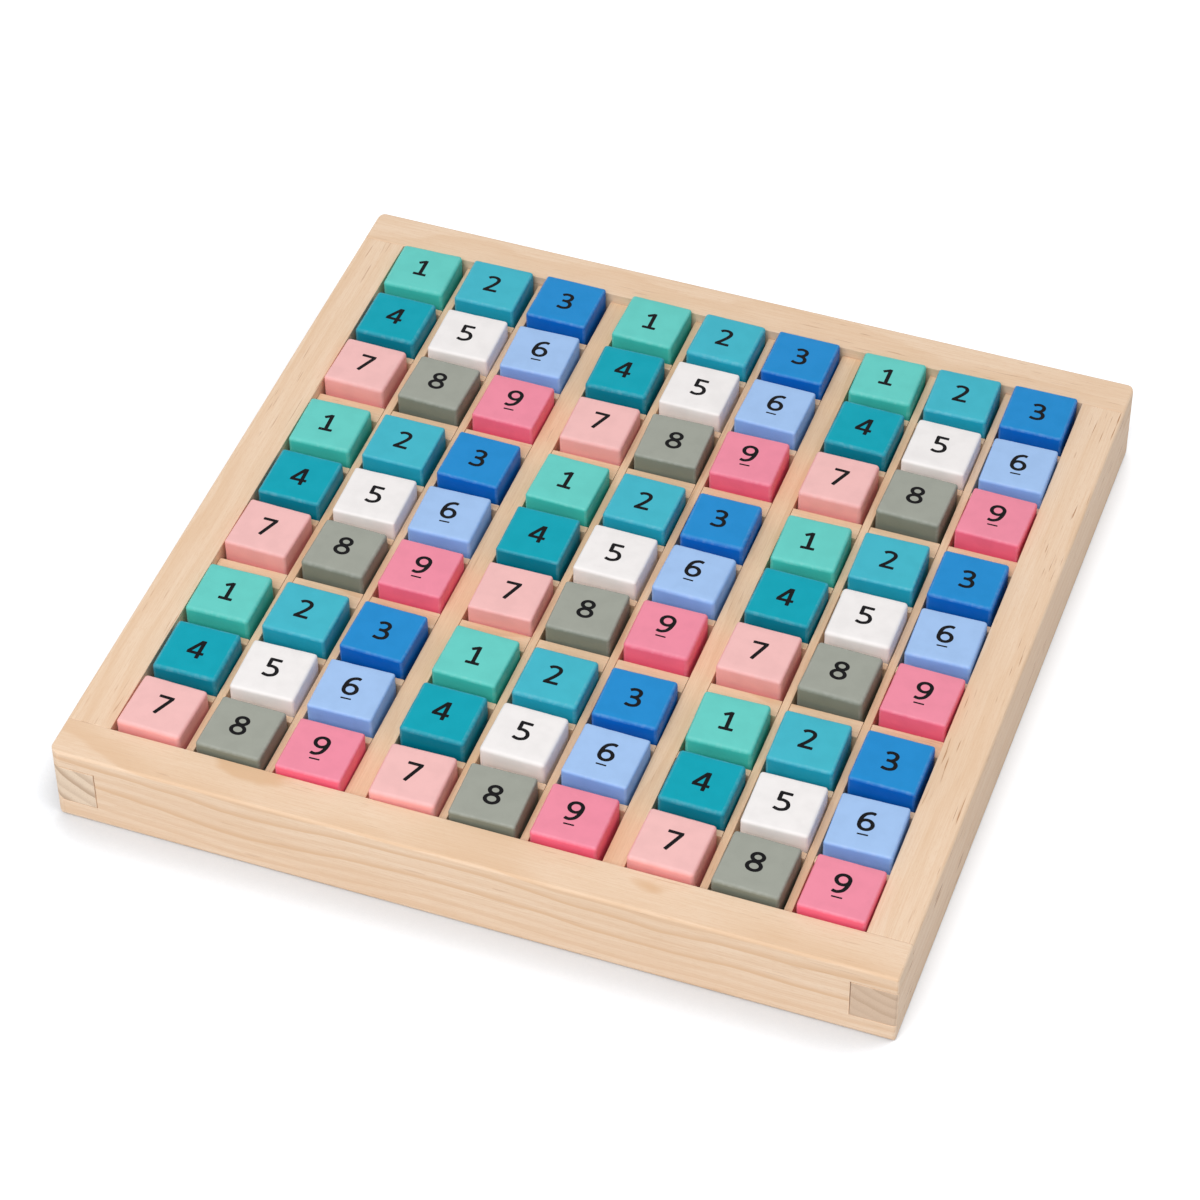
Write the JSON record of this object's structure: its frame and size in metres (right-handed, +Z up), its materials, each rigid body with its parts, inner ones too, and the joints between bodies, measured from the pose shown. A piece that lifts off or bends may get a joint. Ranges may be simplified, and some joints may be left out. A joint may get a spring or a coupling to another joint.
{
  "type": "sudoku board",
  "caption": "Square wooden sudoku board: a pine tray with finger-jointed corners and a lattice of cells that holds loose, painted number cubes.",
  "frame": {"origin": "on the table, under the middle of the board", "axes": "+X to the right and +Y to the back as a player reads the numbers, +Z up"},
  "size_m": [0.2524, 0.2524, 0.029],
  "materials": {
    "pine": "sanded, clear matt lacquer",
    "plywood": "plain sanded",
    "paint_1": "mint green satin paint",
    "paint_2": "turquoise satin paint",
    "paint_3": "blue satin paint",
    "paint_4": "dark teal satin paint",
    "paint_5": "white satin paint",
    "paint_6": "light blue satin paint",
    "paint_7": "light pink satin paint",
    "paint_8": "grey-green satin paint",
    "paint_9": "rose pink satin paint"
  },
  "bodies": {
    "tray": {"front_rail": "pine", "back_rail": "pine", "left_rail": "pine", "right_rail": "pine", "base_panel": "plywood", "thin_column_strips": "pine", "wide_column_strips": "pine", "thin_row_strips": "pine", "wide_row_strips": "pine"},
    "cube_front_left_1": {"cube_front_left_1": "paint_1"},
    "cube_front_left_2": {"cube_front_left_2": "paint_2"},
    "cube_front_left_3": {"cube_front_left_3": "paint_3"},
    "cube_front_left_4": {"cube_front_left_4": "paint_4"},
    "cube_front_left_5": {"cube_front_left_5": "paint_5"},
    "cube_front_left_6": {"cube_front_left_6": "paint_6"},
    "cube_front_left_7": {"cube_front_left_7": "paint_7"},
    "cube_front_left_8": {"cube_front_left_8": "paint_8"},
    "cube_front_left_9": {"cube_front_left_9": "paint_9"},
    "cube_front_right_1": {"cube_front_right_1": "paint_1"},
    "cube_front_right_2": {"cube_front_right_2": "paint_2"},
    "cube_front_right_3": {"cube_front_right_3": "paint_3"},
    "cube_front_right_4": {"cube_front_right_4": "paint_4"},
    "cube_front_right_5": {"cube_front_right_5": "paint_5"},
    "cube_front_right_6": {"cube_front_right_6": "paint_6"},
    "cube_front_right_7": {"cube_front_right_7": "paint_7"},
    "cube_front_right_8": {"cube_front_right_8": "paint_8"},
    "cube_front_right_9": {"cube_front_right_9": "paint_9"},
    "cube_back_left_1": {"cube_back_left_1": "paint_1"},
    "cube_back_left_2": {"cube_back_left_2": "paint_2"},
    "cube_back_left_3": {"cube_back_left_3": "paint_3"},
    "cube_back_left_4": {"cube_back_left_4": "paint_4"},
    "cube_back_left_5": {"cube_back_left_5": "paint_5"},
    "cube_back_left_6": {"cube_back_left_6": "paint_6"},
    "cube_back_left_7": {"cube_back_left_7": "paint_7"},
    "cube_back_left_8": {"cube_back_left_8": "paint_8"},
    "cube_back_left_9": {"cube_back_left_9": "paint_9"},
    "cube_back_right_1": {"cube_back_right_1": "paint_1"},
    "cube_back_right_2": {"cube_back_right_2": "paint_2"},
    "cube_back_right_3": {"cube_back_right_3": "paint_3"},
    "cube_back_right_4": {"cube_back_right_4": "paint_4"},
    "cube_back_right_5": {"cube_back_right_5": "paint_5"},
    "cube_back_right_6": {"cube_back_right_6": "paint_6"},
    "cube_back_right_7": {"cube_back_right_7": "paint_7"},
    "cube_back_right_8": {"cube_back_right_8": "paint_8"},
    "cube_back_right_9": {"cube_back_right_9": "paint_9"},
    "cross_cubes_1": {"cross_cubes_1": "paint_1"},
    "cross_cubes_2": {"cross_cubes_2": "paint_2"},
    "cross_cubes_3": {"cross_cubes_3": "paint_3"},
    "cross_cubes_4": {"cross_cubes_4": "paint_4"},
    "cross_cubes_5": {"cross_cubes_5": "paint_5"},
    "cross_cubes_6": {"cross_cubes_6": "paint_6"},
    "cross_cubes_7": {"cross_cubes_7": "paint_7"},
    "cross_cubes_8": {"cross_cubes_8": "paint_8"},
    "cross_cubes_9": {"cross_cubes_9": "paint_9"}
  },
  "joints": [
    {"name": "lift_front_left_1", "type": "slide", "parent": "tray", "child": "cube_front_left_1", "axis": [0, 0, 1], "range_m": [0, 0.03]},
    {"name": "lift_front_left_2", "type": "slide", "parent": "tray", "child": "cube_front_left_2", "axis": [0, 0, 1], "range_m": [0, 0.03]},
    {"name": "lift_front_left_3", "type": "slide", "parent": "tray", "child": "cube_front_left_3", "axis": [0, 0, 1], "range_m": [0, 0.03]},
    {"name": "lift_front_left_4", "type": "slide", "parent": "tray", "child": "cube_front_left_4", "axis": [0, 0, 1], "range_m": [0, 0.03]},
    {"name": "lift_front_left_5", "type": "slide", "parent": "tray", "child": "cube_front_left_5", "axis": [0, 0, 1], "range_m": [0, 0.03]},
    {"name": "lift_front_left_6", "type": "slide", "parent": "tray", "child": "cube_front_left_6", "axis": [0, 0, 1], "range_m": [0, 0.03]},
    {"name": "lift_front_left_7", "type": "slide", "parent": "tray", "child": "cube_front_left_7", "axis": [0, 0, 1], "range_m": [0, 0.03]},
    {"name": "lift_front_left_8", "type": "slide", "parent": "tray", "child": "cube_front_left_8", "axis": [0, 0, 1], "range_m": [0, 0.03]},
    {"name": "lift_front_left_9", "type": "slide", "parent": "tray", "child": "cube_front_left_9", "axis": [0, 0, 1], "range_m": [0, 0.03]},
    {"name": "lift_front_right_1", "type": "slide", "parent": "tray", "child": "cube_front_right_1", "axis": [0, 0, 1], "range_m": [0, 0.03]},
    {"name": "lift_front_right_2", "type": "slide", "parent": "tray", "child": "cube_front_right_2", "axis": [0, 0, 1], "range_m": [0, 0.03]},
    {"name": "lift_front_right_3", "type": "slide", "parent": "tray", "child": "cube_front_right_3", "axis": [0, 0, 1], "range_m": [0, 0.03]},
    {"name": "lift_front_right_4", "type": "slide", "parent": "tray", "child": "cube_front_right_4", "axis": [0, 0, 1], "range_m": [0, 0.03]},
    {"name": "lift_front_right_5", "type": "slide", "parent": "tray", "child": "cube_front_right_5", "axis": [0, 0, 1], "range_m": [0, 0.03]},
    {"name": "lift_front_right_6", "type": "slide", "parent": "tray", "child": "cube_front_right_6", "axis": [0, 0, 1], "range_m": [0, 0.03]},
    {"name": "lift_front_right_7", "type": "slide", "parent": "tray", "child": "cube_front_right_7", "axis": [0, 0, 1], "range_m": [0, 0.03]},
    {"name": "lift_front_right_8", "type": "slide", "parent": "tray", "child": "cube_front_right_8", "axis": [0, 0, 1], "range_m": [0, 0.03]},
    {"name": "lift_front_right_9", "type": "slide", "parent": "tray", "child": "cube_front_right_9", "axis": [0, 0, 1], "range_m": [0, 0.03]},
    {"name": "lift_back_left_1", "type": "slide", "parent": "tray", "child": "cube_back_left_1", "axis": [0, 0, 1], "range_m": [0, 0.03]},
    {"name": "lift_back_left_2", "type": "slide", "parent": "tray", "child": "cube_back_left_2", "axis": [0, 0, 1], "range_m": [0, 0.03]},
    {"name": "lift_back_left_3", "type": "slide", "parent": "tray", "child": "cube_back_left_3", "axis": [0, 0, 1], "range_m": [0, 0.03]},
    {"name": "lift_back_left_4", "type": "slide", "parent": "tray", "child": "cube_back_left_4", "axis": [0, 0, 1], "range_m": [0, 0.03]},
    {"name": "lift_back_left_5", "type": "slide", "parent": "tray", "child": "cube_back_left_5", "axis": [0, 0, 1], "range_m": [0, 0.03]},
    {"name": "lift_back_left_6", "type": "slide", "parent": "tray", "child": "cube_back_left_6", "axis": [0, 0, 1], "range_m": [0, 0.03]},
    {"name": "lift_back_left_7", "type": "slide", "parent": "tray", "child": "cube_back_left_7", "axis": [0, 0, 1], "range_m": [0, 0.03]},
    {"name": "lift_back_left_8", "type": "slide", "parent": "tray", "child": "cube_back_left_8", "axis": [0, 0, 1], "range_m": [0, 0.03]},
    {"name": "lift_back_left_9", "type": "slide", "parent": "tray", "child": "cube_back_left_9", "axis": [0, 0, 1], "range_m": [0, 0.03]},
    {"name": "lift_back_right_1", "type": "slide", "parent": "tray", "child": "cube_back_right_1", "axis": [0, 0, 1], "range_m": [0, 0.03]},
    {"name": "lift_back_right_2", "type": "slide", "parent": "tray", "child": "cube_back_right_2", "axis": [0, 0, 1], "range_m": [0, 0.03]},
    {"name": "lift_back_right_3", "type": "slide", "parent": "tray", "child": "cube_back_right_3", "axis": [0, 0, 1], "range_m": [0, 0.03]},
    {"name": "lift_back_right_4", "type": "slide", "parent": "tray", "child": "cube_back_right_4", "axis": [0, 0, 1], "range_m": [0, 0.03]},
    {"name": "lift_back_right_5", "type": "slide", "parent": "tray", "child": "cube_back_right_5", "axis": [0, 0, 1], "range_m": [0, 0.03]},
    {"name": "lift_back_right_6", "type": "slide", "parent": "tray", "child": "cube_back_right_6", "axis": [0, 0, 1], "range_m": [0, 0.03]},
    {"name": "lift_back_right_7", "type": "slide", "parent": "tray", "child": "cube_back_right_7", "axis": [0, 0, 1], "range_m": [0, 0.03]},
    {"name": "lift_back_right_8", "type": "slide", "parent": "tray", "child": "cube_back_right_8", "axis": [0, 0, 1], "range_m": [0, 0.03]},
    {"name": "lift_back_right_9", "type": "slide", "parent": "tray", "child": "cube_back_right_9", "axis": [0, 0, 1], "range_m": [0, 0.03]},
    {"name": "lift_cross_1", "type": "slide", "parent": "tray", "child": "cross_cubes_1", "axis": [0, 0, 1], "range_m": [0, 0.03]},
    {"name": "lift_cross_2", "type": "slide", "parent": "tray", "child": "cross_cubes_2", "axis": [0, 0, 1], "range_m": [0, 0.03]},
    {"name": "lift_cross_3", "type": "slide", "parent": "tray", "child": "cross_cubes_3", "axis": [0, 0, 1], "range_m": [0, 0.03]},
    {"name": "lift_cross_4", "type": "slide", "parent": "tray", "child": "cross_cubes_4", "axis": [0, 0, 1], "range_m": [0, 0.03]},
    {"name": "lift_cross_5", "type": "slide", "parent": "tray", "child": "cross_cubes_5", "axis": [0, 0, 1], "range_m": [0, 0.03]},
    {"name": "lift_cross_6", "type": "slide", "parent": "tray", "child": "cross_cubes_6", "axis": [0, 0, 1], "range_m": [0, 0.03]},
    {"name": "lift_cross_7", "type": "slide", "parent": "tray", "child": "cross_cubes_7", "axis": [0, 0, 1], "range_m": [0, 0.03]},
    {"name": "lift_cross_8", "type": "slide", "parent": "tray", "child": "cross_cubes_8", "axis": [0, 0, 1], "range_m": [0, 0.03]},
    {"name": "lift_cross_9", "type": "slide", "parent": "tray", "child": "cross_cubes_9", "axis": [0, 0, 1], "range_m": [0, 0.03]}
  ]
}
